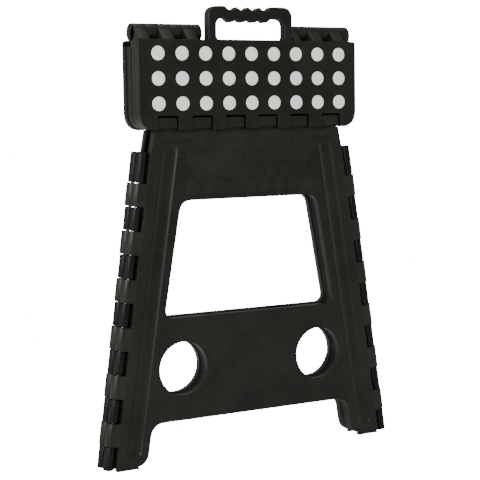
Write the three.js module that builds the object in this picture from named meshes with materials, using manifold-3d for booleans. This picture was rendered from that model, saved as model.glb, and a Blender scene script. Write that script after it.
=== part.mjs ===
// A folding step stool, folded flat and standing on its feet.
// Millimetres. +Z is up, -Y is the front, and the origin is on the floor under the middle of the stool.
// Two tread halves fold down from a centre hinge. Each hangs a leg panel, and each side is a pair of
// half panels that fold inward between the legs. Every hinge is a row of knuckles on a steel pin.
import * as THREE from 'three';
import { mergeVertices } from 'three/addons/utils/BufferGeometryUtils.js';
import Module from 'manifold-3d';

// Driving dimensions
const treadHalfWidth = 144;
const treadFace = 21.5;          // distance of a tread's face from the middle plane
const treadInside = 0.75;        // distance of its inner rim from the middle plane
const treadSkin = 3.2;
const treadBottom = 382;
const treadShoulder = 483;       // top of the tread's face, where it slopes to the centre hinge
const legFace = 14.5;
const legInside = 7;
const legSkin = 3;
const legTop = 381.8;
const legTopHalfWidth = 123.2;
const sideInner = 6.5;           // side halves lie between these distances from the middle plane
const sideOuter = 0.3;
const sideSkin = 3;

const cornerHeight = 357.5;      // at this height the corner hinges stand this far out
const cornerHalfWidth = 136.1;
const cornerSlope = 0.1442;      // and they spread by this much for each mm down
const cornerDepth = 8;
const cornerRadius = 6.5;
const cornerTop = 358.8;
const cornerFirst = 323.7;       // the top knuckle is long, the other twelve share a pitch
const cornerPitch = 26.8;
const cornerCount = 13;

const foldHalfWidth = 32.416;    // the fold line down the middle of each side, at the same height
const foldSlope = 0.03267;
const foldRadius = 6.2;

const legHingeHeight = 390;
const legHingeDepth = 9;
const legHingeRadius = 7.5;
const legKnuckles = [-108.5, -64.5, -21.5, 21.5, 64.5, 108.5];
const legKnuckleWidth = 22;
const legNotchWidth = 26;
const legPadFace = 19.5;          // a flat pad in front of each leg knuckle, nearly level with the tread

const centreHeight = 491;
const centreRadius = 10.5;
const centreBounds = [144, 129, 114, 98.5, 83, 68, 58];

const windowTop = 301.9;
const windowBottom = 168.3;
const windowTopHalf = 91;
const windowBottomHalf = 115;
const windowCorner = 13;
const holeX = 91.4;
const holeZ = 109.4;
const holeRadius = 30.9;
const archTop = 49.2;
const archHalf = 133;
const footInner = 140;
const footBottom = 2.4;

const handleHalf = 55.5;
const handleTop = 521.5;
const handleBack = 10;
const gripHalf = 45.5;
const gripBottom = 482.5;
const gripTop = 509;
const cutoutHalf = 58.3;
const cutoutBottom = 458;

const dotRadius = 8;
const dotPitch = 30;
const dotColumns = [-4, -3, -2, -1, 0, 1, 2, 3, 4];
const dotRows = [467.5, 439.5, 411.5];
const dotProud = 0.5;

const pinRadius = 2.1;
const tightBore = 2.8;           // bore that turns on its pin
const looseBore = 7;           // bore of the rear tread, which floats on the centre pins
const foldBore = 3.3;
const roundSides = 8;
const boreSides = 6;
const looseSides = 8;
const dotSides = 8;
const barrelSides = 12;
const holeSides = 18;

const wasm = await Module();
wasm.setup();

// Closed geometry to solid and back
function solid(geometry) {
  const bare = geometry.clone();
  bare.deleteAttribute('normal');
  bare.deleteAttribute('uv');
  const merged = mergeVertices(bare, 1e-4);
  return new wasm.Manifold(new wasm.Mesh({
    numProp: 3,
    vertProperties: new Float32Array(merged.attributes.position.array),
    triVerts: new Uint32Array(merged.index.array),
  }));
}

function geometryOf(body) {
  const mesh = body.asOriginal().simplify(0.001).getMesh();
  const geometry = new THREE.BufferGeometry();
  geometry.setAttribute('position', new THREE.BufferAttribute(mesh.vertProperties, 3));
  geometry.setIndex(new THREE.BufferAttribute(mesh.triVerts, 1));
  geometry.computeVertexNormals();
  return geometry;
}

function join(bodies) {
  return bodies.reduce((whole, body) => whole.add(body));
}

function cut(body, tools) {
  return tools.reduce((rest, tool) => rest.subtract(tool), body);
}

function block(x0, x1, y0, y1, z0, z1) {
  const geometry = new THREE.BoxGeometry(x1 - x0, y1 - y0, z1 - z0);
  return solid(geometry.translate((x0 + x1) / 2, (y0 + y1) / 2, (z0 + z1) / 2));
}

// A shape drawn in x and z, as thick as y0 to y1
function plate(shape, y0, y1, curveSegments = 3) {
  const geometry = new THREE.ExtrudeGeometry(shape, { depth: y1 - y0, bevelEnabled: false, curveSegments });
  return solid(geometry.rotateX(Math.PI / 2).translate(0, y1, 0));
}

// A section drawn in y and z, drawn out from x0 to x1
function bar(points, x0, x1) {
  const shape = new THREE.Shape(points.map(([y, z]) => new THREE.Vector2(y, z)));
  const geometry = new THREE.ExtrudeGeometry(shape, { depth: x1 - x0, bevelEnabled: false });
  const turn = new THREE.Matrix4().makeBasis(
    new THREE.Vector3(0, 1, 0), new THREE.Vector3(0, 0, 1), new THREE.Vector3(1, 0, 0));
  return solid(geometry.applyMatrix4(turn).translate(x0, 0, 0));
}

// A round rod between two points
function rod(from, to, radius, sides = roundSides) {
  const start = new THREE.Vector3(...from);
  const run = new THREE.Vector3(...to).sub(start);
  const geometry = new THREE.CylinderGeometry(radius, radius, run.length(), sides);
  const turn = new THREE.Quaternion().setFromUnitVectors(
    new THREE.Vector3(0, 1, 0), run.clone().normalize());
  geometry.applyQuaternion(turn);
  return solid(geometry.translate(...start.addScaledVector(run, 0.5).toArray()));
}

// An outline of points [x, z, radius], each corner rounded by its radius
function outline(points, target = new THREE.Shape()) {
  const count = points.length;
  points.forEach(([x, z, radius = 0], i) => {
    const here = new THREE.Vector2(x, z);
    const before = new THREE.Vector2(...points[(i + count - 1) % count]).sub(here).normalize();
    const after = new THREE.Vector2(...points[(i + 1) % count]).sub(here).normalize();
    const start = here.clone().addScaledVector(before, radius);
    const end = here.clone().addScaledVector(after, radius);
    if (i === 0) target.moveTo(start.x, start.y);
    else target.lineTo(start.x, start.y);
    if (radius > 0) target.quadraticCurveTo(here.x, here.y, end.x, end.y);
  });
  target.closePath();
  return target;
}

function mirrored(points) {
  return points.map(([x, z, radius = 0]) => [-x, z, radius]).reverse();
}

// Points of the slanted hinge lines. side is -1 on the left and 1 on the right.
const slant = Math.atan(cornerSlope);

function cornerX(z) {
  return cornerHalfWidth + cornerSlope * (cornerHeight - z);
}

function foldX(z) {
  return foldHalfWidth + foldSlope * (cornerHeight - z);
}

function cornerPoint(side, z, depth) {
  return [side * cornerX(z), depth, z];
}

function foldPoint(side, z) {
  return [side * foldX(z), 0, z];
}

// A point inboard of the corner hinge line, square to it
function inboard(side, z, distance) {
  return [side * (cornerX(z) - distance * Math.cos(slant)), z - distance * Math.sin(slant)];
}

const cornerSegments = [];
for (let i = 0; i < cornerCount; i += 1) {
  const top = i === 0 ? cornerTop : cornerFirst - cornerPitch * (i - 1);
  const bottom = cornerFirst - cornerPitch * i;
  cornerSegments.push([bottom + 0.4, top - 0.4]);
}

function cornerKnuckles(side, depth, first, webBack, webFront, reach, bore) {
  const pieces = [];
  const bores = [];
  cornerSegments.forEach(([bottom, top], i) => {
    if (i % 2 !== first) return;
    pieces.push(rod(cornerPoint(side, bottom, depth), cornerPoint(side, top, depth), cornerRadius));
    const web = outline([inboard(side, top, 0), inboard(side, top, reach),
      inboard(side, bottom, reach), inboard(side, bottom, 0)]);
    pieces.push(plate(web, webBack, webFront));
  });
  bores.push(rod(cornerPoint(side, -5, depth), cornerPoint(side, cornerTop + 5, depth), bore, boreSides));
  return { pieces, bores };
}

// Leg panel, as the front one: stiles, a crossbar, a lower rail with two holes, and two feet
const windowLoop = [[-windowTopHalf, windowTop, windowCorner], [windowTopHalf, windowTop, windowCorner],
  [windowBottomHalf, windowBottom, windowCorner], [-windowBottomHalf, windowBottom, windowCorner]];
const legEdge = 8;
const footLeft = [[...inboard(-1, cornerTop - 1, legEdge), 0], [...inboard(-1, footBottom + 1.1, legEdge), 3],
  [-footInner, footBottom, 16], [-archHalf, archTop, 16]];
const legOutline = [[legTopHalfWidth, legTop, 2], [-legTopHalfWidth, legTop, 2], ...footLeft,
  ...mirrored(footLeft)];

function roundHole(side, radius = holeRadius) {
  return rod([side * holeX, -30, holeZ], [side * holeX, 30, holeZ], radius, holeSides);
}

// Recesses between the ribs, on the hidden face of a stile, a rail and a foot
function stilePockets(side, margin) {
  const cells = [];
  const heights = [345, 258, 174];
  for (let i = 0; i + 1 < heights.length; i += 1) {
    const top = heights[i] - 1.3;
    const bottom = heights[i + 1] + 1.3;
    const windowX = (z) => side * (windowTopHalf + 5 + (windowTop - z) * 0.18);
    cells.push([inboard(side, top, margin), [windowX(top), top], [windowX(bottom), bottom],
      inboard(side, bottom, margin)]);
  }
  const holeEdge = side * (holeX + holeRadius + 4);
  cells.push([inboard(side, 164, margin), [holeEdge, 162], [holeEdge, 112], inboard(side, 112, margin)]);
  cells.push([inboard(side, 108, margin), [holeEdge, 106], [side * 137, 58], inboard(side, 58, margin)]);
  cells.push([inboard(side, 52, margin), [side * 141, 50], [side * 146, 22], inboard(side, 22, margin)]);
  return cells;
}

function pocket(points, y0, y1) {
  return plate(outline(points), y0, y1);
}

function makeLeg() {
  const panelShape = outline(legOutline);
  panelShape.holes.push(outline(windowLoop, new THREE.Path()));
  let body = plate(panelShape, -legFace, -legInside);
  const knuckles = [];
  const bores = [];
  [-1, 1].forEach((side) => {
    const corner = cornerKnuckles(side, -cornerDepth, 1, -legFace, -legInside, legEdge + 1, tightBore);
    knuckles.push(...corner.pieces);
    bores.push(...corner.bores);
  });
  legKnuckles.forEach((x) => {
    const x0 = x - legKnuckleWidth / 2;
    const x1 = x + legKnuckleWidth / 2;
    knuckles.push(rod([x0, -legHingeDepth, legHingeHeight], [x1, -legHingeDepth, legHingeHeight],
      legHingeRadius));
    knuckles.push(block(x0, x1, -legFace, -legInside, legTop - 4, legHingeHeight - 1));
    knuckles.push(block(x0, x1, -legPadFace, -legHingeDepth, legHingeHeight - 6, legHingeHeight + 6));
  });
  bores.push(rod([-150, -legHingeDepth, legHingeHeight], [150, -legHingeDepth, legHingeHeight],
    tightBore, boreSides));
  body = join([body, ...knuckles]);

  const recesses = [];
  const floor = -legFace + legSkin;
  [-1, 1].forEach((side) => {
    stilePockets(side, 13).forEach((cell) => recesses.push(pocket(cell, floor, 0)));
    recesses.push(roundHole(side));
    // the long rounded channel down the face of each stile
    const slot = (z) => side * (103.5 + 0.16 * (359 - z));
    recesses.push(pocket([[slot(367) - 8, 367, 7], [slot(367) + 8, 367, 7],
      [slot(12) + 8, 12, 4], [slot(12) - 8, 12, 4]], -legFace - 1, -legFace + 1.2));
    const peg = side * 164;
    recesses.push(rod([peg, -10.75, -1], [peg, -10.75, 8.4], 2.5, boreSides));
  });
  [[-86, -1.5], [1.5, 86]].forEach(([x0, x1]) => {
    recesses.push(block(x0, x1, floor, 0, 308, 339));
    recesses.push(block(x0, x1, floor, 0, 341.5, 372));
  });
  [[-54, -1.5], [1.5, 54]].forEach(([x0, x1]) => {
    recesses.push(block(x0, x1, floor, 0, 56, 107));
    recesses.push(block(x0, x1, floor, 0, 110, 162));
  });
  return cut(body, [...recesses, ...bores]);
}

// Half of the left side, as the front one (facing = -1) or the rear one (facing = 1)
const foldSections = [[303.5, 353.5, 4], [51, 166.5, 6]];
const sideEdge = 7.4;

function foldSegments() {
  const list = [];
  foldSections.forEach(([bottom, top, count]) => {
    const pitch = (top - bottom) / count;
    for (let i = 0; i < count; i += 1) {
      list.push([bottom + pitch * i + 0.4, bottom + pitch * (i + 1) - 0.4, i % 2]);
    }
  });
  return list;
}

function makeSideHalf(facing, owns, bore) {
  const near = (z) => -(foldX(z) + 0.5);
  const shape = outline([[...inboard(-1, cornerTop - 0.4, sideEdge), 0],
    [near(355), cornerTop - 3.4, 0], [near(windowTop), windowTop, 0],
    [-windowTopHalf, windowTop, windowCorner], [-windowBottomHalf, windowBottom, windowCorner],
    [near(windowBottom), windowBottom, 0], [near(archTop), archTop, 0], [-archHalf, archTop, 16],
    [-footInner, footBottom, 16], [...inboard(-1, footBottom + 1.1, sideEdge), 0]]);
  const low = facing < 0 ? -sideInner : sideOuter;
  const high = facing < 0 ? -sideOuter : sideInner;
  const depth = facing * cornerDepth;
  const webLow = facing < 0 ? -sideInner : 1.5;
  const webHigh = facing < 0 ? -1.5 : sideInner;
  const corner = cornerKnuckles(-1, depth, 0, webLow, webHigh, sideEdge + 1, tightBore);
  let body = join([plate(shape, low, high), ...corner.pieces]);

  const clearance = [];
  const knuckles = [];
  foldSegments().forEach(([bottom, top, owner]) => {
    if (owner === owns) {
      knuckles.push(rod(foldPoint(-1, bottom), foldPoint(-1, top), foldRadius));
    } else {
      const away = foldRadius + 0.9;
      clearance.push(plate(outline([[-foldX(top) - away, top + 0.8], [0, top + 0.8],
        [0, bottom - 0.8], [-foldX(bottom) - away, bottom - 0.8]]), -10, 10));
    }
  });
  const skin = facing < 0 ? -sideOuter - sideSkin : sideOuter + sideSkin;
  const [y0, y1] = facing < 0 ? [-20, skin] : [skin, 20];
  const recesses = stilePockets(-1, 13).map((cell) => pocket(cell, y0, y1));
  [[-86, -44]].forEach(([x0, x1]) => recesses.push(block(x0, x1, y0, y1, 308, 348)));
  recesses.push(roundHole(-1));
  const bores = [...corner.bores, rod(foldPoint(-1, 40), foldPoint(-1, 362), bore, boreSides)];
  body = cut(body, [...clearance, ...recesses]);
  return cut(join([body, ...knuckles]), bores);
}

// Tread half, as the front one. holdsHandle gives it the handle, otherwise it gets the cut-out for it.
function centreRanges() {
  const front = [];
  const rear = [];
  for (let i = 0; i + 1 < centreBounds.length; i += 1) {
    const outer = centreBounds[i];
    const inner = centreBounds[i + 1];
    (i % 2 === 0 ? front : rear).push([-outer + 0.4, -inner - 0.4]);
    (i % 2 === 0 ? rear : front).push([inner + 0.4, outer - 0.4]);
  }
  return { front, rear };
}

function treadBlank(corner, inset) {
  return [[-treadHalfWidth + inset, treadShoulder - inset, 5], [treadHalfWidth - inset, treadShoulder - inset, 5],
    [treadHalfWidth - inset, treadBottom + inset, corner], [-treadHalfWidth + inset, treadBottom + inset, corner]];
}

function handleBody() {
  const shape = new THREE.Shape();
  const shoulder = 30;
  const crest = handleTop - 2;
  shape.moveTo(-handleHalf, treadShoulder - 6);
  shape.lineTo(-handleHalf, handleTop - 13);
  shape.quadraticCurveTo(-handleHalf, handleTop, -handleHalf + 13, handleTop);
  shape.lineTo(-shoulder - 4, handleTop);
  shape.lineTo(-shoulder, crest);
  for (let i = 0; i < 4; i += 1) {
    const x = -shoulder + 15 * i;
    shape.quadraticCurveTo(x + 7.5, crest - 4, x + 15, crest);
  }
  shape.lineTo(shoulder + 4, handleTop);
  shape.lineTo(handleHalf - 13, handleTop);
  shape.quadraticCurveTo(handleHalf, handleTop, handleHalf, handleTop - 13);
  shape.lineTo(handleHalf, treadShoulder - 6);
  const hole = new THREE.Path();
  hole.moveTo(-gripHalf + 7, gripBottom);
  hole.lineTo(gripHalf - 7, gripBottom);
  hole.quadraticCurveTo(gripHalf, gripBottom, gripHalf, gripBottom + 7);
  hole.lineTo(gripHalf, gripTop - 9);
  hole.quadraticCurveTo(gripHalf, gripTop, gripHalf - 9, gripTop);
  hole.lineTo(shoulder + 2, gripTop);
  for (let i = 0; i < 4; i += 1) {
    const x = shoulder - 15 * i;
    hole.quadraticCurveTo(x - 7.5, gripTop - 6, x - 15, gripTop - 1.5);
  }
  hole.lineTo(-gripHalf + 9, gripTop);
  hole.quadraticCurveTo(-gripHalf, gripTop, -gripHalf, gripTop - 9);
  hole.lineTo(-gripHalf, gripBottom + 7);
  hole.quadraticCurveTo(-gripHalf, gripBottom, -gripHalf + 7, gripBottom);
  hole.closePath();
  shape.holes.push(hole);
  return plate(shape, -treadFace, -handleBack);
}

function stripColumns(row, holdsHandle) {
  if (holdsHandle || row !== dotRows[0]) return [dotColumns];
  return [dotColumns.filter((c) => c < -2), dotColumns.filter((c) => c > 2)];
}

function makeTread(holdsHandle) {
  const back = -treadFace + treadSkin;
  const legGap = treadBottom + 16.5;
  const wall = 2.5;
  const parts = [plate(outline(treadBlank(20, 0)), -treadFace, back)];
  const rim = cut(plate(outline(treadBlank(20, 0)), -treadFace, -treadInside), [
    plate(outline(treadBlank(17, 3)), -treadFace - 1, 0),
    block(-128.5, 128.5, back, 0, 370, legGap),
    block(-150, 150, back, 0, 475.5, 500)]);
  parts.push(rim);
  parts.push(block(-142, 142, back - 0.5, -treadInside, 472, 475));
  parts.push(block(-128.5, 128.5, back - 0.5, -treadInside, legGap, legGap + wall));
  [-1, 1].forEach((side) => {
    const x = side * 129.5;
    parts.push(block(x - 1, x + 1, back - 0.5, -treadInside - 1, treadBottom + 2, 474));
  });
  [-75, 75].forEach((x) => parts.push(block(x - 0.8, x + 0.8, back - 0.5, -4, legGap, 474)));
  [425.5, 453.5].forEach((z) => parts.push(block(-142, 142, back - 0.5, -4, z - 0.8, z + 0.8)));

  // Lugs of the leg hinge, between the notches
  const notches = legKnuckles.map((x) => [x - legNotchWidth / 2, x + legNotchWidth / 2]);
  const lugEnds = [-130, ...notches.flat(), 130];
  for (let i = 0; i < lugEnds.length; i += 2) {
    const x0 = lugEnds[i];
    const x1 = lugEnds[i + 1];
    parts.push(rod([x0, -legHingeDepth, legHingeHeight], [x1, -legHingeDepth, legHingeHeight],
      legHingeRadius));
    parts.push(bar([[-treadFace + 1, treadBottom + 0.5], [-legHingeDepth, treadBottom + 0.5],
      [-1.6, legHingeHeight], [-1.6, legGap + 1], [-treadFace + 1, legGap + 1]], x0, x1));
  }
  const notchCuts = notches.map(([x0, x1]) => block(x0, x1, -30, 0, 370, legGap));

  // Knuckles of the centre hinge, each on a web that slopes up from the face
  const ranges = centreRanges();
  const knuckles = ranges.front.flatMap(([x0, x1]) => [
    rod([x0, 0, centreHeight], [x1, 0, centreHeight], centreRadius, barrelSides),
    bar([[-treadFace, 473], [-treadInside, 473], [-treadInside, centreHeight - 10], [0, centreHeight],
      [-6.2, centreHeight + 8.4], [-9.2, centreHeight + 4.6], [-treadFace, treadShoulder]], x0, x1),
  ]);
  let body = cut(join(parts), notchCuts);
  if (!holdsHandle) {
    const frame = block(-cutoutHalf - wall, cutoutHalf + wall, -treadFace + 0.5, -treadInside,
      cutoutBottom - wall, 476);
    const opening = block(-cutoutHalf, cutoutHalf, -30, 5, cutoutBottom, 530);
    body = cut(join([body, frame]), [opening]);
  }
  body = join([body, ...knuckles]);
  if (holdsHandle) body = join([body, handleBody()]);

  // Holes for the dots, and the channels in the ribs where their strips lie
  const openings = [];
  dotRows.forEach((row) => {
    stripColumns(row, holdsHandle).forEach((columns) => {
      const x0 = columns[0] * dotPitch - 9.5;
      const x1 = columns[columns.length - 1] * dotPitch + 9.5;
      openings.push(block(x0, x1, back, back + 2, row - 9, row + 9));
      columns.forEach((column) => openings.push(rod([column * dotPitch, -30, row],
        [column * dotPitch, back + 2, row], dotRadius + 0.5, dotSides)));
    });
  });
  const centreBore = holdsHandle ? tightBore : looseBore;
  const bores = [
    rod([-131, -legHingeDepth, legHingeHeight], [131, -legHingeDepth, legHingeHeight], tightBore, boreSides),
    rod([-150, 0, centreHeight], [-50, 0, centreHeight], centreBore, looseSides),
    rod([50, 0, centreHeight], [150, 0, centreHeight], centreBore, looseSides),
  ];
  return cut(body, [...openings, ...bores]);
}

function makeStrip(row, columns) {
  const back = -treadFace + treadSkin + 0.3;
  const x0 = columns[0] * dotPitch - 9;
  const x1 = columns[columns.length - 1] * dotPitch + 9;
  const runner = block(x0, x1, back, back + 1.3, row - 8.6, row + 8.6);
  return join([runner, ...columns.map((column) => rod([column * dotPitch, -treadFace - dotProud, row],
    [column * dotPitch, back + 0.6, row], dotRadius, dotSides))]);
}

function makeFootPad(side) {
  const shape = [side * 150, side * 178];
  const pad = block(Math.min(...shape), Math.max(...shape), -legFace + 0.3, -legInside - 0.3, 0, 2.1);
  return join([pad, rod([side * 164, -10.75, 1], [side * 164, -10.75, 7.6], 2, boreSides)]);
}

const blackPlastic = new THREE.MeshStandardMaterial({ color: 0x262622, roughness: 0.55, metalness: 0 });
const softDots = new THREE.MeshStandardMaterial({ color: 0xdededa, roughness: 0.7, metalness: 0 });
const blackRubber = new THREE.MeshStandardMaterial({ color: 0x1c1c1b, roughness: 0.85, metalness: 0 });
const pinSteel = new THREE.MeshStandardMaterial({ color: 0xa9acae, roughness: 0.35, metalness: 1 });

const stool = new THREE.Group();
const frontAssembly = new THREE.Group();
const turnedAssembly = new THREE.Group();
turnedAssembly.rotation.z = Math.PI;
stool.add(frontAssembly, turnedAssembly);

function place(name, body, material, group) {
  const mesh = new THREE.Mesh(geometryOf(body), material);
  mesh.name = name;
  group.add(mesh);
}

const leg = makeLeg();
const frontHalf = makeSideHalf(-1, 0, tightBore);
const rearHalf = makeSideHalf(1, 1, foldBore);
place('front_tread', makeTread(true), blackPlastic, frontAssembly);
place('rear_tread', makeTread(false), blackPlastic, turnedAssembly);
place('front_leg', leg, blackPlastic, frontAssembly);
place('rear_leg', leg, blackPlastic, turnedAssembly);
place('left_side_front_half', frontHalf, blackPlastic, frontAssembly);
place('left_side_rear_half', rearHalf, blackPlastic, frontAssembly);
place('right_side_rear_half', frontHalf, blackPlastic, turnedAssembly);
place('right_side_front_half', rearHalf, blackPlastic, turnedAssembly);

// Steel pins, a little shorter than their rows of knuckles
[-1, 1].forEach((side) => {
  const pin = rod(cornerPoint(side, 4, -cornerDepth), cornerPoint(side, cornerTop - 2, -cornerDepth),
    pinRadius, boreSides);
  place(`front_${side < 0 ? 'left' : 'right'}_corner_pin`, pin, pinSteel, frontAssembly);
  place(`rear_${side < 0 ? 'right' : 'left'}_corner_pin`, pin, pinSteel, turnedAssembly);
  const centrePin = rod([side * 59.5, 0, centreHeight], [side * 142.5, 0, centreHeight], pinRadius, boreSides);
  place(`centre_${side < 0 ? 'left' : 'right'}_pin`, centrePin, pinSteel, frontAssembly);
});
['front', 'rear'].forEach((end, i) => {
  const pin = rod([-129, -legHingeDepth, legHingeHeight], [129, -legHingeDepth, legHingeHeight],
    pinRadius, boreSides);
  place(`${end}_leg_pin`, pin, pinSteel, i === 0 ? frontAssembly : turnedAssembly);
});
foldSections.forEach(([bottom, top], i) => {
  const pin = rod(foldPoint(-1, bottom + 1.5), foldPoint(-1, top - 1.5), pinRadius, boreSides);
  const level = i === 0 ? 'upper' : 'lower';
  place(`left_fold_${level}_pin`, pin, pinSteel, frontAssembly);
  place(`right_fold_${level}_pin`, pin, pinSteel, turnedAssembly);
});

// Soft dots on strips moulded through the treads, and the foot pads
dotRows.forEach((row, i) => {
  const level = ['top', 'middle', 'bottom'][i];
  place(`front_grip_${level}`, makeStrip(row, dotColumns), softDots, frontAssembly);
  stripColumns(row, false).forEach((columns, j, all) => {
    const suffix = all.length > 1 ? `_${j === 0 ? 'right' : 'left'}` : '';
    place(`rear_grip_${level}${suffix}`, makeStrip(row, columns), softDots, turnedAssembly);
  });
});
[-1, 1].forEach((side) => {
  place(`front_${side < 0 ? 'left' : 'right'}_foot_pad`, makeFootPad(side), blackRubber, frontAssembly);
  place(`rear_${side < 0 ? 'right' : 'left'}_foot_pad`, makeFootPad(side), blackRubber, turnedAssembly);
});

export default stool;
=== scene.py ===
import math

import bmesh
import bpy
from mathutils import Matrix, Vector


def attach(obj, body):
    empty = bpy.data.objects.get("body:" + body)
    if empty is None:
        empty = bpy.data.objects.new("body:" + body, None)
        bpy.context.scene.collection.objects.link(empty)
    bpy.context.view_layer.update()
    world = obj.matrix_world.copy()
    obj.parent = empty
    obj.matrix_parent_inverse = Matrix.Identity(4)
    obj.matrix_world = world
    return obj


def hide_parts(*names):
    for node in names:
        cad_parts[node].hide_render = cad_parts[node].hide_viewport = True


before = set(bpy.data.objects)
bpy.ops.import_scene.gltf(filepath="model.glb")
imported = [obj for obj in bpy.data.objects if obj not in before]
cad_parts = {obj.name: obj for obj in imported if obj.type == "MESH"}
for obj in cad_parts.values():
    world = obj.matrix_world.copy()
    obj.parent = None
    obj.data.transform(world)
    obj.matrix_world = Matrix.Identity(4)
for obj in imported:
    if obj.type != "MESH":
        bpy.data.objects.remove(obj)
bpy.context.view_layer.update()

# Leg panels. Two black polypropylene mouldings, front and rear: an open frame of two stiles, a crossbar
# and a lower rail, with a thin face, a rim round every edge and ribs behind. The rear one is the front
# one turned half a turn. Each carries knuckles for the side panels and for its tread.
MM = 0.001
CORNER_HEIGHT = 357.5
CORNER_HALF_WIDTH = 136.1
CORNER_SLOPE = 0.1442
CORNER_DEPTH = 8
CORNER_RADIUS = 6.5
RIB_REACH = 6.4
CORNER_TOP = 358.8
CORNER_FIRST = 323.7
CORNER_PITCH = 26.8
CORNER_COUNT = 13
SLANT = math.atan(CORNER_SLOPE)
LEG_FACE = 14.5
LEG_INSIDE = 7
SKIN = 3.4
RIM = 2.4
HINGE_HEIGHT = 390
HINGE_DEPTH = 9
HINGE_RADIUS = 7.5
LEG_KNUCKLES = (-108.5, -64.5, -21.5, 21.5, 64.5, 108.5)
EDGE_ROUND = 0.55
PAD_FACE = 19.5
KNUCKLE_HALF = 12.2             # half the width of a leg knuckle
SET_BACK = 0.05                 # keeps a part just behind the face that it meets
CORNER_STEPS = 8
GROOVE_SECTION = ((0, 0), (0.5, 0.6), (1.6, 1.4), (3.4, 2.15), (5.6, 2.6), (7.6, 2.75))


class Signal:
    """A shader output that takes part in sums."""

    def __init__(self, tree, socket):
        self.tree = tree
        self.socket = socket

    def math(self, operation, left, right):
        node = self.tree.nodes.new("ShaderNodeMath")
        node.operation = operation
        for slot, value in zip(node.inputs, (left, right)):
            if isinstance(value, Signal):
                self.tree.links.new(value.socket, slot)
            else:
                slot.default_value = value
        return Signal(self.tree, node.outputs[0])

    def __add__(self, other):
        return self.math("ADD", self, other)

    __radd__ = __add__

    def __sub__(self, other):
        return self.math("SUBTRACT", self, other)

    def __mul__(self, other):
        return self.math("MULTIPLY", self, other)


class Finish:
    """A material under construction, with its Principled shader."""

    def __init__(self, name, constants):
        self.material = bpy.data.materials.new(name)
        self.material.use_nodes = True
        self.tree = self.material.node_tree
        self.shader = self.tree.nodes["Principled BSDF"]
        for key, value in constants.items():
            self.shader.inputs[key].default_value = value

    def node(self, kind, output, settings=None, **inputs):
        """Add a node. Its settings are set first, then the values or links of its sockets."""
        made = self.tree.nodes.new(kind)
        for key, value in (settings or {}).items():
            setattr(made, key, value)
        for key, value in inputs.items():
            slot = made.inputs[int(key[1:])] if key[0] == "_" else made.inputs[key.replace("_", " ")]
            if isinstance(value, Signal):
                self.tree.links.new(value.socket, slot)
            else:
                slot.default_value = value
        return Signal(self.tree, made.outputs[output])

    def feed(self, socket, signal):
        self.tree.links.new(signal.socket, self.shader.inputs[socket])

    def place(self):
        return self.node("ShaderNodeTexCoord", "Object")

    def noise(self, scale, detail=3.0, roughness=0.5, vector=None):
        return self.node("ShaderNodeTexNoise", "Fac", Vector=vector or self.place(), Scale=scale,
                         Detail=detail, Roughness=roughness)

    def ramp(self, signal, low, high, dark=0.0, light=1.0):
        """A number that goes from dark to light as the signal goes from low to high."""
        return self.node("ShaderNodeMapRange", "Result", Value=signal, From_Min=low, From_Max=high,
                         To_Min=dark, To_Max=light)

    def blend(self, factor, first, second):
        return self.node("ShaderNodeMix", 2, {"data_type": "RGBA"}, _0=factor, _6=first, _7=second)


def moulded_plastic(name, colour, pale, gloss, shine):
    """Satin polypropylene: a fine spark-eroded grain, cloudy colour, rubbed pale edges and light scuffs."""
    finish = Finish(name, {"IOR": 1.49, "Specular IOR Level": shine})
    cloud = finish.noise(22.0, 4.0, 0.6)
    specks = finish.noise(420.0, 2.0, 0.6)
    worn = finish.ramp(finish.node("ShaderNodeNewGeometry", "Pointiness"), 0.52, 0.60)
    stretch = finish.node("ShaderNodeMapping", "Vector", Vector=finish.place(), Scale=(60.0, 60.0, 9.0))
    scuffs = finish.ramp(finish.noise(6.0, 5.0, 0.7, stretch), 0.58, 0.74)
    mix = finish.ramp(cloud, 0.35, 0.7, 0.0, 0.45) + worn * 0.55 + scuffs * 0.18
    finish.feed("Base Color", finish.blend(mix, (*colour, 1.0), (*pale, 1.0)))
    finish.feed("Roughness", gloss + specks * 0.10 + scuffs * 0.08 - worn * 0.06)
    grain = finish.noise(1500.0, 2.0, 0.55) + specks * 0.5
    finish.feed("Normal", finish.node("ShaderNodeBump", "Normal", Strength=0.16, Distance=0.0002,
                                      Height=grain))
    return finish.material


def corner_x(z):
    return CORNER_HALF_WIDTH + CORNER_SLOPE * (CORNER_HEIGHT - z)


def corner_point(side, z, depth):
    return (side * corner_x(z), depth, z)


def inboard(side, z, distance):
    """A point square to the corner hinge line, towards the middle."""
    return (side * (corner_x(z) - distance * math.cos(SLANT)), z - distance * math.sin(SLANT))


def corner_segments():
    bounds = [CORNER_TOP] + [CORNER_FIRST - CORNER_PITCH * i for i in range(CORNER_COUNT)]
    return [(low + 0.4, high - 0.4) for high, low in zip(bounds, bounds[1:])]


def rounded(points, steps=CORNER_STEPS):
    """An outline from corners (x, z, size of the rounding)."""
    line = []
    for i, corner in enumerate(points):
        here = Vector(corner[:2])
        size = corner[2] if len(corner) > 2 else 0
        if size == 0:
            line.append(tuple(here))
            continue
        start = here + (Vector(points[i - 1][:2]) - here).normalized() * size
        end = here + (Vector(points[(i + 1) % len(points)][:2]) - here).normalized() * size
        for step in range(steps + 1):
            t = step / steps
            line.append(tuple((1 - t) ** 2 * start + 2 * t * (1 - t) * here + t * t * end))
    return line


def ring(x, z, radius, count=48):
    return [(x + radius * math.cos(2 * math.pi * i / count), z + radius * math.sin(2 * math.pi * i / count))
            for i in range(count)]


def draw_loop(bm, points, y):
    verts = [bm.verts.new((x, y, z)) for x, z in points]
    edges = [bm.edges.new((a, b)) for a, b in zip(verts, verts[1:] + verts[:1])]
    return verts, edges


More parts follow.
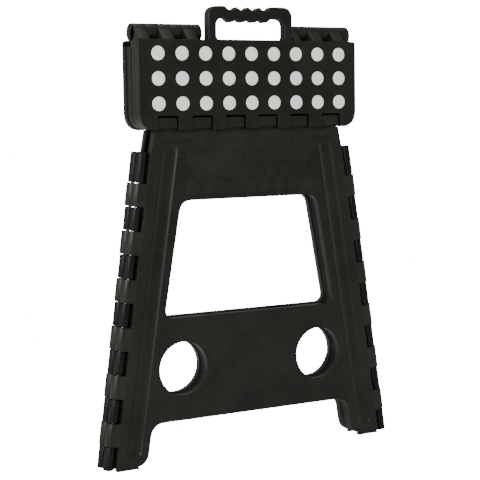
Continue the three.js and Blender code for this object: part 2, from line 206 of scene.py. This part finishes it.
def soften(bm, size, limit, faces):
    """Round the edges of some faces where they turn by more than a limit in degrees."""
    chosen = set(e for f in faces for e in f.edges)
    edges = [e for e in chosen if e.is_manifold and e.calc_face_angle(0) > math.radians(limit)]
    bmesh.ops.bevel(bm, geom=edges, offset=size, segments=2, profile=0.5, affect="EDGES",
                    clamp_overlap=True, material=-1)


def add_prism(bm, verts, run, size, limit):
    """A solid grown from a flat outline along a run, with softened edges."""
    grown = bmesh.ops.extrude_face_region(bm, geom=[bm.faces.new(verts)])["geom"]
    bmesh.ops.translate(bm, vec=run, verts=[v for v in grown if isinstance(v, bmesh.types.BMVert)])
    faces = set(f for v in verts for f in v.link_faces)
    faces |= set(f for f in grown if isinstance(f, bmesh.types.BMFace))
    bmesh.ops.recalc_face_normals(bm, faces=list(faces))
    if size:
        soften(bm, size, limit, faces)


def moved_loop(points, distance):
    """The same outline, moved to its own left by a distance."""
    line = []
    for i, here in enumerate(points):
        here = Vector(here)
        before = (here - Vector(points[i - 1])).normalized()
        after = (Vector(points[(i + 1) % len(points)]) - here).normalized()
        along = (before + after).normalized()
        reach = distance / max(0.5, along.dot(after))
        line.append((here.x - along.y * reach, here.y + along.x * reach))
    return line


def skin_loops(bm, points, levels, inward):
    """A skin through copies of an outline, each moved inward and to a depth.

    It gives the edges of the first copy and of the last.
    """
    area = sum(a[0] * b[1] - b[0] * a[1] for a, b in zip(points, points[1:] + points[:1]))
    left = inward if area > 0 else -inward
    rows = [draw_loop(bm, moved_loop(points, left * move), depth) for move, depth in levels]
    for (first, _), (second, _) in zip(rows, rows[1:]):
        for i in range(len(first)):
            bm.faces.new((first[i - 1], first[i], second[i], second[i - 1]))
    return rows[0][1], rows[-1][1]


def faced_panel(outer, holes, grooves, face, skin, back, rim, edge=EDGE_ROUND):
    """A moulded panel: a face at y = face, as thick as skin, with a rim round every edge back to y = back."""
    bm = bmesh.new()
    inward = 1 if back > face else -1
    levels = [(edge * (1 - math.sin(angle)), face + inward * edge * (1 - math.cos(angle)))
              for angle in (0, math.pi / 6, math.pi / 3, math.pi / 2)]
    levels += [(0, back), (rim, back), (rim, face + inward * skin)]
    front, rear = [], []
    for points, side in [(outer, 1)] + [(hole, -1) for hole in holes]:
        first, last = skin_loops(bm, points, levels, side)
        front += first
        rear += last
    for groove in grooves:
        section = [(move, face + inward * depth) for move, depth in GROOVE_SECTION]
        first, last = skin_loops(bm, groove, section, 1)
        front += first
        bmesh.ops.triangle_fill(bm, use_beauty=False, edges=last)
    bmesh.ops.triangle_fill(bm, use_beauty=False, edges=front)
    bmesh.ops.triangle_fill(bm, use_beauty=False, edges=rear)
    bmesh.ops.recalc_face_normals(bm, faces=bm.faces)
    return bm


def add_slab(bm, points, y0, y1, size=EDGE_ROUND):
    """A block with that outline in x and z, between two depths, with softened edges."""
    add_prism(bm, draw_loop(bm, points, y0)[0], (0, y1 - y0, 0), size, 50)


def add_block(bm, x0, x1, y0, y1, z0, z1, size=EDGE_ROUND):
    add_slab(bm, [(x0, z0), (x1, z0), (x1, z1), (x0, z1)], y0, y1, size)


def add_barrel(bm, start, end, radius, size=0.5, sides=32):
    """A round hinge barrel between two points, with softened ends."""
    start = Vector(start)
    run = Vector(end) - start
    turn = run.to_track_quat("Z", "Y").to_matrix().to_4x4()
    made = bmesh.ops.create_cone(bm, cap_ends=True, segments=sides, radius1=radius, radius2=radius,
                                 depth=run.length, matrix=Matrix.Translation(start + run / 2) @ turn)
    faces = set(f for v in made["verts"] for f in v.link_faces)
    if size:
        soften(bm, size, 60, faces)


def add_corner_knuckles(bm, side, depth, first, web, reach, radius=CORNER_RADIUS, ribbed=False):
    """The knuckles of one part along a corner. Ribbed ones have a raised bar with two bumps on the outside."""
    for i, (low, high) in enumerate(corner_segments()):
        if i % 2 != first:
            continue
        add_barrel(bm, corner_point(side, low, depth), corner_point(side, high, depth), radius)
        if ribbed:
            outside = depth + math.copysign(RIB_REACH, depth)
            bar = [inboard(side, high - 5, -1), inboard(side, high - 5, 2),
                   inboard(side, low + 5, 2), inboard(side, low + 5, -1)]
            add_slab(bm, bar, depth, outside - math.copysign(0.25, depth), 0.2)
            for height in (low + 9, high - 9):
                x, z = inboard(side, height, 0.5)
                add_barrel(bm, (x, depth, z), (x, outside, z), 1.3, 0.3, 12)
        add_slab(bm, [inboard(side, high, 0), inboard(side, high, reach), inboard(side, low, reach),
                      inboard(side, low, 0)], web[0], web[1], 0.4)


def finish_piece(bm, name, material, nodes, body, turned=False):
    """Make an object in metres from a drawing in millimetres, and hang it on its body."""
    bmesh.ops.scale(bm, vec=(MM, MM, MM), verts=bm.verts)
    if turned:
        bmesh.ops.rotate(bm, cent=(0, 0, 0), matrix=Matrix.Rotation(math.pi, 3, "Z"), verts=bm.verts)
    for face in bm.faces:
        face.smooth = True
    for edge in bm.edges:
        flat = any(abs(face.normal.y) > 0.9999 for face in edge.link_faces)
        edge.smooth = not edge.is_manifold or edge.calc_face_angle(0) < math.radians(13 if flat else 35)
    mesh = bpy.data.meshes.new(name)
    bm.to_mesh(mesh)
    bm.free()
    mesh.materials.append(material)
    piece = bpy.data.objects.new(name, mesh)
    bpy.context.scene.collection.objects.link(piece)
    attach(piece, body)
    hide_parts(*nodes)
    return piece


BLACK = moulded_plastic("satin_black_polypropylene", (0.0062, 0.0060, 0.0042), (0.021, 0.0205, 0.015),
                        0.36, 0.22)

WINDOW = [(-91, 301.9, 13), (91, 301.9, 13), (115, 168.3, 13), (-115, 168.3, 13)]
ROUND_HOLE = (91.4, 109.4, 30.9)
LEG_EDGE = 8
LEG_FOOT = [(*inboard(-1, CORNER_TOP - 1, LEG_EDGE), 0), (*inboard(-1, 3.5, LEG_EDGE), 3), (-140, 2.4, 16),
            (-133, 49.2, 16)]
LEG_OUTLINE = [(123.2, 382.3, 2), (-123.2, 382.3, 2), *LEG_FOOT,
               *[(-x, z, size) for x, z, size in reversed(LEG_FOOT)]]
CELL = 19.0                     # width of a honeycomb cell on the crossbar, across its flats
CELL_GAP = 0.7


def stile_groove(side):
    def centre(z):
        return side * (103.6 + 0.156 * (359 - z))
    return rounded([(centre(367) - 9.6, 367, 9.2), (centre(367) + 9.6, 367, 9.2),
                    (centre(14) + 9.6, 14, 7), (centre(14) - 9.6, 14, 7)])


def add_honeycomb(bm):
    """Low six-sided pads, in rows across the crossbar."""
    radius = CELL / math.sqrt(3)
    for row in range(4):
        z = 366 - row * CELL * 0.866
        for column in range(-5, 5):
            x = column * CELL + (CELL / 2 if row % 2 else 0) + CELL / 2
            if abs(x) > 84 or z < 305 + CELL / 2:
                continue
            reach = radius - CELL_GAP
            corners = [(x + reach * math.sin(math.pi / 3 * k), z + reach * math.cos(math.pi / 3 * k))
                       for k in range(6)]
            add_slab(bm, corners, -LEG_FACE + 0.4, -LEG_FACE - 0.24, 0.2)


for end, turned in (("front", False), ("rear", True)):
    holes = [rounded(WINDOW), ring(*ROUND_HOLE), ring(-ROUND_HOLE[0], *ROUND_HOLE[1:])]
    leg = faced_panel(rounded(LEG_OUTLINE), holes, [stile_groove(-1), stile_groove(1)],
                      -LEG_FACE, SKIN, -LEG_INSIDE, RIM)
    for side in (-1, 1):
        add_corner_knuckles(leg, side, -CORNER_DEPTH, 1, (-LEG_FACE + SET_BACK, -LEG_INSIDE - SET_BACK),
                            LEG_EDGE + 1)
    for x in LEG_KNUCKLES:
        left, right = x - KNUCKLE_HALF, x + KNUCKLE_HALF
        add_barrel(leg, (left, -HINGE_DEPTH, HINGE_HEIGHT), (right, -HINGE_DEPTH, HINGE_HEIGHT), HINGE_RADIUS)
        add_block(leg, left, right, -LEG_FACE + SET_BACK, -LEG_INSIDE - SET_BACK, 377, HINGE_HEIGHT - 2)
        pad = rounded([(left, 384, 2.5), (right, 384, 2.5), (right, 396, 3.5), (left, 396, 3.5)], 4)
        add_slab(leg, pad, -PAD_FACE, -HINGE_DEPTH, 0.8)
    for i in range(-5, 5):
        add_block(leg, 23 * i + 0.5, 23 * i + 22.5, -LEG_FACE - 0.3, -LEG_FACE + 1, 372, 380, 0.25)
    for z in (340, 258, 214):
        reach = corner_x(z) - 12
        inner = 91 + (301.9 - z) * 0.18 if z < 300 else -84
        for side in (-1, 1):
            add_block(leg, *sorted((side * reach, side * (inner + 1))), -LEG_FACE + 3.1, -LEG_INSIDE - 0.2,
                      z - 1, z + 1, 0.3)
    for x in (-43, 0, 43):
        add_block(leg, x - 1, x + 1, -LEG_FACE + 1, -LEG_INSIDE - 0.2, 303, 380, 0.3)
    for x in (-28, 0, 28):
        add_block(leg, x - 1, x + 1, -LEG_FACE + 1, -LEG_INSIDE - 0.2, 51, 166, 0.3)
    add_honeycomb(leg)
    finish_piece(leg, end + "_leg_panel", BLACK, [end + "_leg"], end + "_leg", turned)

# Side panels. Each side is two black mouldings that meet on a fold line down the middle and fold inward
# between the legs. Their corner knuckles stand in the notches of the legs' own knuckles.
# The side halves are the same polypropylene as the legs. They get a darker colour and less shine, as painted
# shade for the shadow they sit in between the legs.
SIDE_BLACK_PAINTED_SHADE = moulded_plastic("black_polypropylene_painted_shade", (0.0014, 0.0014, 0.0011), (0.009, 0.009, 0.0068),
                             0.42, 0.16)
FOLD_HALF_WIDTH = 32.416
FOLD_SLOPE = 0.03267
FOLD_RADIUS = 6.2
FOLD_SECTIONS = ((303.5, 353.5, 4), (51, 166.5, 6))
SIDE_INNER = 6.5
SIDE_OUTER = 0.3
SIDE_EDGE = 7.4


def fold_x(z):
    return FOLD_HALF_WIDTH + FOLD_SLOPE * (CORNER_HEIGHT - z)


def fold_segments():
    for low, high, count in FOLD_SECTIONS:
        pitch = (high - low) / count
        for i in range(count):
            yield low + pitch * i + 0.4, low + pitch * (i + 1) - 0.4, i % 2


def notch_line(owns, low_z, high_z):
    """The fold edge between two heights, stepped back round the other half's knuckles."""
    line = []
    for low, high, owner in fold_segments():
        if owner == owns or high < low_z or low > high_z:
            continue
        away = FOLD_RADIUS + 0.9
        line += [(-(fold_x(low) + 0.5), low - 0.8), (-(fold_x(low) + away), low - 0.8),
                 (-(fold_x(high) + away), high + 0.8), (-(fold_x(high) + 0.5), high + 0.8)]
    return line


def side_outline(owns):
    lower = [(x, z, 0) for x, z in reversed(notch_line(owns, 49, 166.9))]
    upper = [(x, z, 0) for x, z in reversed(notch_line(owns, 302, 356))]
    return rounded([(*inboard(-1, CORNER_TOP - 0.4, SIDE_EDGE), 2),
                    (-(fold_x(355) + 0.5), CORNER_TOP - 3.4, 1),
                    *upper, (-(fold_x(303.1) + 0.5), 303.1, 0.5), (-92.4, 303.1, 13), (-116.4, 167.1, 13),
                    (-(fold_x(167.1) + 0.5), 167.1, 0.5), *lower, (-(fold_x(49.2) + 0.5), 49.2, 0.5),
                    (-133, 49.2, 16), (-140, 2.4, 16), (*inboard(-1, 3.5, SIDE_EDGE), 2)])


def make_side_half(facing, owns):
    face = facing * SIDE_OUTER
    back = facing * SIDE_INNER
    hole = ring(-ROUND_HOLE[0], ROUND_HOLE[1], ROUND_HOLE[2] + 1.3)
    half = faced_panel(side_outline(owns), [hole], [], face, 2.6, back, 2)
    web = (-SIDE_INNER + SET_BACK, -1.5) if facing < 0 else (1.5, SIDE_INNER - SET_BACK)
    depth = facing * CORNER_DEPTH
    add_corner_knuckles(half, -1, depth, 0, web, SIDE_EDGE + 1, CORNER_RADIUS - 0.9, True)
    for low, high, owner in fold_segments():
        if owner == owns:
            add_barrel(half, (-fold_x(low), 0, low), (-fold_x(high), 0, high), FOLD_RADIUS)
    for z in (340, 258, 214):
        add_block(half, -corner_x(z) + 12, -(92 + (301.9 - z) * 0.18 if z < 300 else fold_x(z) + 9),
                  *sorted((facing * 1.3, facing * (SIDE_INNER - 0.2))), z - 1, z + 1, 0.3)
    return half


for front_or_rear, facing, owns in (("front", -1, 0), ("rear", 1, 1)):
    opposite = "rear" if front_or_rear == "front" else "front"
    finish_piece(make_side_half(facing, owns), f"left_side_{front_or_rear}_panel", SIDE_BLACK_PAINTED_SHADE,
                 [f"left_side_{front_or_rear}_half"], f"left_side_{front_or_rear}")
    finish_piece(make_side_half(facing, owns), f"right_side_{opposite}_panel", SIDE_BLACK_PAINTED_SHADE,
                 [f"right_side_{opposite}_half"], f"right_side_{opposite}", True)

# Tread halves. Two black mouldings with deep rims that fold together like a book. The front one has the
# carry handle, and the rear one a cut-out that takes it when the stool is open.
TREAD_HALF_WIDTH = 144
TREAD_FACE = 21.5
TREAD_INSIDE = 0.75
TREAD_SKIN = 3.2
TREAD_BOTTOM = 382
TREAD_SHOULDER = 483
CENTRE_HEIGHT = 491
CENTRE_RADIUS = 10.5
CENTRE_BOUNDS = (144, 129, 114, 98.5, 83, 68, 58)
NOTCH_TOP = TREAD_BOTTOM + 15.9
DOT_PITCH = 30
DOT_ROWS = (467.5, 439.5, 411.5)
DOT_RADIUS = 8
CUTOUT_HALF = 58.3
CUTOUT_BOTTOM = 458
GRIP_MIDDLE = -3.2


def dot_columns(row, holds_handle):
    """The columns of a row, in the groups that share a strip."""
    if holds_handle or row != DOT_ROWS[0]:
        return [range(-4, 5)]
    return [range(-4, -2), range(3, 5)]


def tread_outline(holds_handle):
    corners = [(-TREAD_HALF_WIDTH, TREAD_SHOULDER, 5)]
    if not holds_handle:
        corners += [(-CUTOUT_HALF, TREAD_SHOULDER, 2), (-CUTOUT_HALF, CUTOUT_BOTTOM, 6),
                    (CUTOUT_HALF, CUTOUT_BOTTOM, 6), (CUTOUT_HALF, TREAD_SHOULDER, 2)]
    corners += [(TREAD_HALF_WIDTH, TREAD_SHOULDER, 5), (TREAD_HALF_WIDTH, TREAD_BOTTOM, 20)]
    for x in reversed(LEG_KNUCKLES):
        corners += [(x + 13, TREAD_BOTTOM, 1), (x + 13, NOTCH_TOP, 1.5), (x - 13, NOTCH_TOP, 1.5),
                    (x - 13, TREAD_BOTTOM, 1)]
    corners.append((-TREAD_HALF_WIDTH, TREAD_BOTTOM, 20))
    return rounded(corners)


def centre_ranges():
    """Where the front half's knuckles stand along the centre hinge."""
    for i, (outer, inner) in enumerate(zip(CENTRE_BOUNDS, CENTRE_BOUNDS[1:])):
        yield (-outer + 0.4, -inner - 0.4) if i % 2 == 0 else (inner + 0.4, outer - 0.4)


def add_section(bm, points, x0, x1, size=EDGE_ROUND):
    """A block with that section in y and z, from x0 to x1."""
    add_prism(bm, [bm.verts.new((x0, y, z)) for y, z in points], (x1 - x0, 0, 0), size, 40)


def rim_wall(bm):
    """The deep wall round the ends and the lower corners, stepped in at the back, and the ribs inside."""
    inner = rounded([(-125.9, 384.6, 0), (-140.9, 384.6, 17), (-140.9, 475.5, 0)])
    for step, start, stop in ((0.05, -TREAD_FACE + 1, -13), (1.2, -12.6, -TREAD_INSIDE)):
        outer = rounded([(-144 + step, 475.5, 0), (-144 + step, 382 + step, 20 - step),
                         (-128.5, 382 + step, 0)])
        for side in (-1, 1):
            add_slab(bm, [(-side * x, z) for x, z in outer + inner], start, stop, 0.35)
    bridge = rounded([(-142, 475, 0), (-142, 384, 18), (-128.5, 384, 0)]) + inner
    for side in (-1, 1):
        add_slab(bm, [(-side * x, z) for x, z in bridge], -13.5, -12, 0)
    add_block(bm, -142, 142, -TREAD_FACE + 2, -TREAD_INSIDE, 472, 475)
    add_block(bm, -128.5, 128.5, -TREAD_FACE + 2, -TREAD_INSIDE, NOTCH_TOP, NOTCH_TOP + 2.5)
    for z in (425.5, 453.5):
        add_block(bm, -142, 142, -TREAD_FACE + 2, -4, z - 0.8, z + 0.8, 0.3)
    for x in (-75, 75):
        add_block(bm, x - 0.8, x + 0.8, -TREAD_FACE + 2, -4, NOTCH_TOP, 474, 0.3)


def handle_outlines():
    shoulder = 30
    top = 521.5
    outer = [(-55.5, TREAD_SHOULDER - 4, 0), (-55.5, top, 13),
             (GRIP_MIDDLE - shoulder - 1, top, 1.5)]
    for i in range(4):
        outer += [(GRIP_MIDDLE - 30 + 15 * i + 7.5, top - 7, 6.8)]
        if i < 3:
            outer += [(GRIP_MIDDLE - 30 + 15 * i + 15, top - 0.6, 0.9)]
    outer += [(GRIP_MIDDLE + shoulder + 1, top, 1.5), (55.5, top, 13), (55.5, TREAD_SHOULDER - 4, 0)]
    hole = [(-45.5, 482.2, 7), (45.5, 482.2, 7), (45.5, 507.6, 9), (GRIP_MIDDLE + shoulder, 507.6, 1)]
    for i in range(4):
        hole += [(GRIP_MIDDLE + 30 - 15 * i - 7.5, 501.2, 6)]
        if i < 3:
            hole += [(GRIP_MIDDLE + 30 - 15 * i - 15, 507.4, 0.9)]
    hole += [(GRIP_MIDDLE - shoulder, 507.6, 1), (-45.5, 507.6, 9)]
    return rounded(outer, 6), rounded(hole, 6)


def make_tread(holds_handle):
    dots = [ring(column * DOT_PITCH, row, DOT_RADIUS + 0.35, 32)
            for row in DOT_ROWS for group in dot_columns(row, holds_handle) for column in group]
    tread = faced_panel(tread_outline(holds_handle), dots, [], -TREAD_FACE, TREAD_SKIN - 0.8,
                        -TREAD_FACE + TREAD_SKIN, 1.2)
    rim_wall(tread)
    ends = [-130] + [x + offset for x in LEG_KNUCKLES for offset in (-13, 13)] + [130]
    for x0, x1 in zip(ends[::2], ends[1::2]):
        add_barrel(tread, (x0, -HINGE_DEPTH, HINGE_HEIGHT), (x1, -HINGE_DEPTH, HINGE_HEIGHT), HINGE_RADIUS)
        lug = [(-TREAD_FACE + 1, TREAD_BOTTOM + 0.6), (-HINGE_DEPTH, TREAD_BOTTOM + 0.6),
               (-1.6, HINGE_HEIGHT), (-1.6, NOTCH_TOP + 1), (-TREAD_FACE + 1, NOTCH_TOP + 1)]
        add_section(tread, lug, x0, x1, 0.3)
    for x0, x1 in centre_ranges():
        add_barrel(tread, (x0, 0, CENTRE_HEIGHT), (x1, 0, CENTRE_HEIGHT), CENTRE_RADIUS, 0.6, 40)
        web = [(-TREAD_FACE + SET_BACK, 479), (-TREAD_FACE + 2, 474), (-TREAD_INSIDE, 474),
               (-TREAD_INSIDE, CENTRE_HEIGHT - 10), (0, CENTRE_HEIGHT), (-6.2, CENTRE_HEIGHT + 8.4),
               (-9.2, CENTRE_HEIGHT + 4.6), (-TREAD_FACE + SET_BACK, TREAD_SHOULDER + 0.2)]
        add_section(tread, web, x0, x1, 0.5)
    for x in LEG_KNUCKLES:
        add_block(tread, x - 13.5, x + 13.5, -1.2, -TREAD_INSIDE, 393.5, NOTCH_TOP + 1.5, 0)
    if holds_handle:
        outer, hole = handle_outlines()
        grip = faced_panel(outer, [hole], [], -TREAD_FACE + 0.05, 3, -10, 3.4, 1.2)
        scratch = bpy.data.meshes.new("grip")
        grip.to_mesh(scratch)
        grip.free()
        tread.from_mesh(scratch)
        bpy.data.meshes.remove(scratch)
    else:
        for x in (-CUTOUT_HALF - 2.5, CUTOUT_HALF):
            add_block(tread, x, x + 2.5, -TREAD_FACE + 1, -TREAD_INSIDE, CUTOUT_BOTTOM - 2.5, 476, 0.4)
        add_block(tread, -CUTOUT_HALF, CUTOUT_HALF, -TREAD_FACE + 1, -TREAD_INSIDE, CUTOUT_BOTTOM - 2.5,
                  CUTOUT_BOTTOM, 0.4)
    return tread


for end, turned in (("front", False), ("rear", True)):
    finish_piece(make_tread(not turned), end + "_tread_half", BLACK, [end + "_tread"], end + "_tread",
                 turned)

# Grip dots. Each row is one strip of soft off-white rubber behind the tread's face, with a round stud
# through each hole. The studs stand half a millimetre proud, with a rolled edge.


def soft_rubber(name, colour, shade):
    finish = Finish(name, {"IOR": 1.5})
    cloud = finish.noise(60.0, 4.0, 0.6)
    fine = finish.noise(900.0, 3.0, 0.6)
    grime = finish.ramp(finish.noise(140.0, 5.0, 0.7), 0.55, 0.8)
    finish.feed("Base Color", finish.blend(finish.ramp(cloud, 0.3, 0.75, 0.0, 0.4) + grime * 0.35,
                                           (*colour, 1.0), (*shade, 1.0)))
    finish.feed("Roughness", 0.5 + fine * 0.2)
    finish.feed("Normal", finish.node("ShaderNodeBump", "Normal", Strength=0.12, Distance=0.0002, Height=fine))
    return finish.material


DOT_RUBBER = soft_rubber("off_white_grip_rubber", (0.93, 0.93, 0.88), (0.80, 0.80, 0.75))
STUD_PROFILE = ((-TREAD_FACE + 3.8, DOT_RADIUS), (-TREAD_FACE - 0.1, DOT_RADIUS),
                (-TREAD_FACE - 0.38, DOT_RADIUS - 0.3),
                (-TREAD_FACE - 0.48, DOT_RADIUS - 0.9), (-TREAD_FACE - 0.5, DOT_RADIUS - 2.2),
                (-TREAD_FACE - 0.42, 3), (-TREAD_FACE - 0.4, 0))


def add_stud(bm, x, z):
    verts = [bm.verts.new((x + radius, y, z)) for y, radius in STUD_PROFILE]
    profile = [bm.edges.new(pair) for pair in zip(verts, verts[1:])]
    bmesh.ops.spin(bm, geom=verts + profile, cent=(x, 0, z), axis=(0, 1, 0), angle=2 * math.pi, steps=36,
                   use_merge=True, use_duplicate=False)


def make_strip(row, group):
    strip = bmesh.new()
    back = -TREAD_FACE + TREAD_SKIN + 0.3
    for column in group:
        add_stud(strip, column * DOT_PITCH, row)
    bmesh.ops.remove_doubles(strip, verts=strip.verts, dist=0.001)
    open_rims = [e for e in strip.edges if e.is_boundary]
    bmesh.ops.holes_fill(strip, edges=open_rims, sides=64)
    bmesh.ops.recalc_face_normals(strip, faces=strip.faces)
    add_block(strip, group[0] * DOT_PITCH - 9, group[-1] * DOT_PITCH + 9, back, back + 1.3,
              row - 8.6, row + 8.6, 0.3)
    return strip


for row, level in zip(DOT_ROWS, ("top", "middle", "bottom")):
    finish_piece(make_strip(row, dot_columns(row, True)[0]), f"front_{level}_dot_strip", DOT_RUBBER,
                 [f"front_grip_{level}"], "front_tread")
    groups = dot_columns(row, False)
    for group, suffix in zip(groups, ("_right", "_left") if len(groups) > 1 else ("",)):
        finish_piece(make_strip(row, group), f"rear_{level}_dot_strip{suffix}", DOT_RUBBER,
                     [f"rear_grip_{level}{suffix}"], "rear_tread", True)

# Hinge pins. Drawn steel wire, cut square and pressed through each row of knuckles.


def drawn_steel():
    finish = Finish("drawn_steel", {"Metallic": 1.0})
    lines = finish.node("ShaderNodeMapping", "Vector", Vector=finish.place(), Scale=(900.0, 900.0, 30.0))
    streaks = finish.noise(1.0, 4.0, 0.6, lines)
    finish.feed("Base Color", finish.blend(streaks, (0.50, 0.51, 0.52, 1.0), (0.36, 0.37, 0.38, 1.0)))
    finish.feed("Roughness", 0.25 + streaks * 0.2)
    finish.feed("Normal", finish.node("ShaderNodeBump", "Normal", Strength=0.1, Distance=0.0001,
                                      Height=streaks))
    return finish.material


STEEL = drawn_steel()
for name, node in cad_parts.items():
    if name.endswith("_pin"):
        node.data.materials.clear()
        node.data.materials.append(STEEL)

# Foot pads. Black rubber blocks with a peg, pushed up into the feet, that keep the stool from sliding.
PAD_RUBBER = soft_rubber("black_foot_rubber", (0.010, 0.010, 0.010), (0.028, 0.028, 0.026))


def make_pad(side):
    pad = bmesh.new()
    x0, x1 = sorted((side * 150, side * 178))
    add_block(pad, x0, x1, -LEG_FACE + 0.3, -LEG_INSIDE - 0.3, 0, 2.1, 0.5)
    for i in range(5):
        x = x0 + 4 + 5 * i
        add_block(pad, x - 0.9, x + 0.9, -LEG_FACE + 0.6, -LEG_INSIDE - 0.6, 0.02, 0.6, 0.2)
    add_barrel(pad, (side * 164, -10.75, 1), (side * 164, -10.75, 7.6), 2, 0.3)
    return pad


for side, left_or_right, opposite in ((-1, "left", "right"), (1, "right", "left")):
    finish_piece(make_pad(side), f"front_{left_or_right}_rubber_foot", PAD_RUBBER,
                 [f"front_{left_or_right}_foot_pad"], "front_leg")
    finish_piece(make_pad(side), f"rear_{opposite}_rubber_foot", PAD_RUBBER,
                 [f"rear_{opposite}_foot_pad"], "rear_leg", True)

# The studio: a pale floor, a strong soft light at the front left, weaker ones at the right, left and
# above, and the camera. The floor and the backdrop glow only where the camera sees them.
floor_finish = Finish("pale_floor", {"Roughness": 0.8})
floor_finish.feed("Base Color", floor_finish.blend(floor_finish.noise(3.0), (0.84, 0.84, 0.84, 1.0),
                                                   (0.87, 0.87, 0.87, 1.0)))
seen = floor_finish.node("ShaderNodeLightPath", "Is Camera Ray")
floor_finish.shader.inputs["Emission Strength"].default_value = 18.0
floor_finish.feed("Emission Color", floor_finish.blend(seen, (0.0, 0.0, 0.0, 1.0), (1.0, 1.0, 1.0, 1.0)))
floor_mesh = bmesh.new()
bmesh.ops.create_grid(floor_mesh, x_segments=1, y_segments=1, size=12)
floor_data = bpy.data.meshes.new("floor")
floor_mesh.to_mesh(floor_data)
floor_mesh.free()
floor_data.materials.append(floor_finish.material)
floor = bpy.data.objects.new("floor", floor_data)
bpy.context.scene.collection.objects.link(floor)

world = bpy.data.worlds.new("studio")
bpy.context.scene.world = world
world.use_nodes = True
world.node_tree.nodes["Background"].inputs["Color"].default_value = (1.0, 1.0, 1.0, 1.0)
backdrop = world.node_tree.nodes["Background"].inputs["Strength"]
ray = world.node_tree.nodes.new("ShaderNodeLightPath")
strength = world.node_tree.nodes.new("ShaderNodeMapRange")
strength.inputs["To Min"].default_value = 0.42
strength.inputs["To Max"].default_value = 18.0
world.node_tree.links.new(ray.outputs["Is Camera Ray"], strength.inputs["Value"])
world.node_tree.links.new(strength.outputs["Result"], backdrop)


def soft_box(name, place, target, size, power):
    light = bpy.data.lights.new(name, "AREA")
    light.shape = "RECTANGLE"
    light.size, light.size_y = size
    light.energy = power
    lamp = bpy.data.objects.new(name, light)
    lamp.location = place
    lamp.rotation_euler = (Vector(target) - Vector(place)).to_track_quat("-Z", "Y").to_euler()
    bpy.context.scene.collection.objects.link(lamp)


soft_box("key_light", (-1.9, -1.4, 1.2), (0, 0, 0.3), (1.0, 1.1), 62)
soft_box("side_light", (1.9, -0.75, 0.5), (0, 0, 0.3), (0.5, 1.6), 8)
soft_box("left_light", (-2.0, 0.1, 0.7), (0, 0, 0.3), (0.6, 1.4), 11)
soft_box("top_light", (0, 0.2, 2.2), (0, 0, 0.2), (1.4, 1.4), 14)

CAMERA_PLACE = Vector((-0.8042, -1.4020, 0.4003))
yaw, pitch, roll = (math.radians(angle) for angle in (29.62, 5.28, -0.89))
ahead = Vector((math.sin(yaw) * math.cos(pitch), math.cos(yaw) * math.cos(pitch), -math.sin(pitch)))
level = Vector((math.cos(yaw), -math.sin(yaw), 0))
upward = level.cross(ahead)
right = level * math.cos(roll) + upward * math.sin(roll)
upward = upward * math.cos(roll) - level * math.sin(roll)
camera_data = bpy.data.cameras.new("camera")
camera_data.sensor_width = 36
camera_data.lens = 103.3
camera = bpy.data.objects.new("camera", camera_data)
camera.matrix_world = Matrix.Translation(CAMERA_PLACE) @ Matrix((right, upward, -ahead)).transposed().to_4x4()
bpy.context.scene.collection.objects.link(camera)
bpy.context.scene.camera = camera
